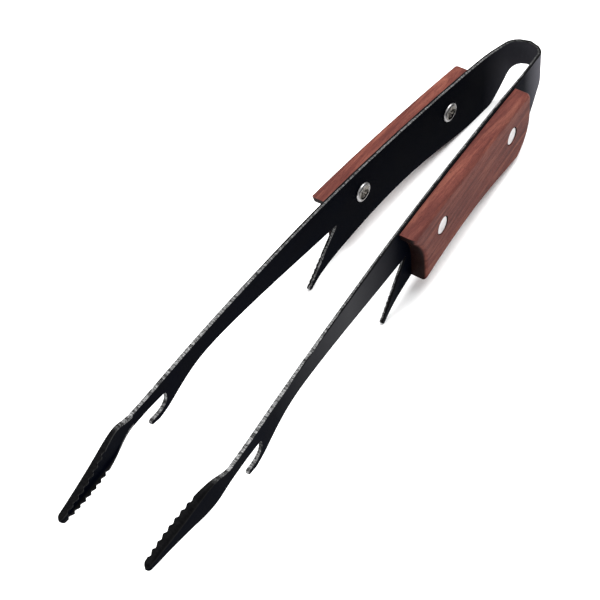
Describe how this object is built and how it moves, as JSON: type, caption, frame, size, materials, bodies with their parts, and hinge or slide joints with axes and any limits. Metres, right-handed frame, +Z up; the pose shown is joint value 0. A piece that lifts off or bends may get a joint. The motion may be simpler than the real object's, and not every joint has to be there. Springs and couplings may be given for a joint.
{
  "type": "spring loaded kitchen tongs",
  "caption": "One-piece sprung steel kitchen tongs with riveted wooden handle scales, a hooked prong along each arm and toothed channel jaws.",
  "frame": {"origin": "bottom centre of the bounding box: below the middle of the overall length, on the plane the tongs rest on", "axes": "+X from the bow of the spring to the jaw tips, +Y towards the left arm, +Z up along the width of the steel strip"},
  "size_m": [0.3946, 0.0626, 0.0514],
  "materials": {
    "coated_steel": "satin black heat-treated coating, worn to bare steel on the cut edges",
    "handle_wood": "red-brown hardwood, oiled, fine lengthwise grain",
    "rivet_steel": "satin nickel-plated steel"
  },
  "bodies": {
    "bow": {"spring_bow": "coated_steel"},
    "left_side": {"left_arm": "coated_steel", "left_handle_scale": "handle_wood", "left_rear_rivet": "rivet_steel", "left_front_rivet": "rivet_steel"},
    "right_side": {"right_arm": "coated_steel", "right_handle_scale": "handle_wood", "right_rear_rivet": "rivet_steel", "right_front_rivet": "rivet_steel"}
  },
  "joints": [
    {"name": "left_flex", "type": "hinge", "parent": "bow", "child": "left_side", "pos_m": [-0.1893, 0, 0.026], "axis": [0, 0, -1], "range_deg": [0, 3.3], "stiffness_Nm_per_rad": 12},
    {"name": "right_flex", "type": "hinge", "parent": "bow", "child": "right_side", "pos_m": [-0.1893, 0, 0.026], "axis": [0, 0, 1], "range_deg": [0, 3.3], "stiffness_Nm_per_rad": 12}
  ],
  "couplings": [
    {"joint": "right_flex", "follows": "left_flex", "ratio": 1}
  ]
}
